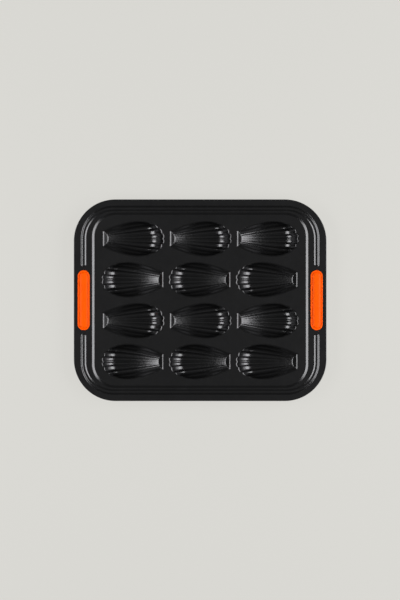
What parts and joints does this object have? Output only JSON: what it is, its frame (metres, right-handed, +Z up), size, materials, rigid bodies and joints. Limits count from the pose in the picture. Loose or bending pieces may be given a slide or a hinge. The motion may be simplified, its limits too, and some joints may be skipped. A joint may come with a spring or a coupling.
{
  "type": "madeleine pan",
  "caption": "Dark non-stick baking pan with rows of fluted shell-shaped moulds, a rolled rim and a soft orange grip set into each short end.",
  "frame": {"origin": "middle of the pan in plan, on the plane that the shells stand on", "axes": "+X along the pan from the left grip to the right grip, +Y across it, +Z up out of the moulds"},
  "size_m": [0.3494, 0.2788, 0.0202],
  "materials": {
    "coated_sheet": "satin black non-stick coating on pressed carbon steel",
    "wire": "drawn steel wire, hidden in the rolled edge",
    "grip_silicone": "matt orange silicone rubber"
  },
  "bodies": {
    "root": {"pan_sheet": "coated_sheet", "rim_wire": "wire", "left_grip": "grip_silicone", "right_grip": "grip_silicone"}
  },
  "joints": []
}
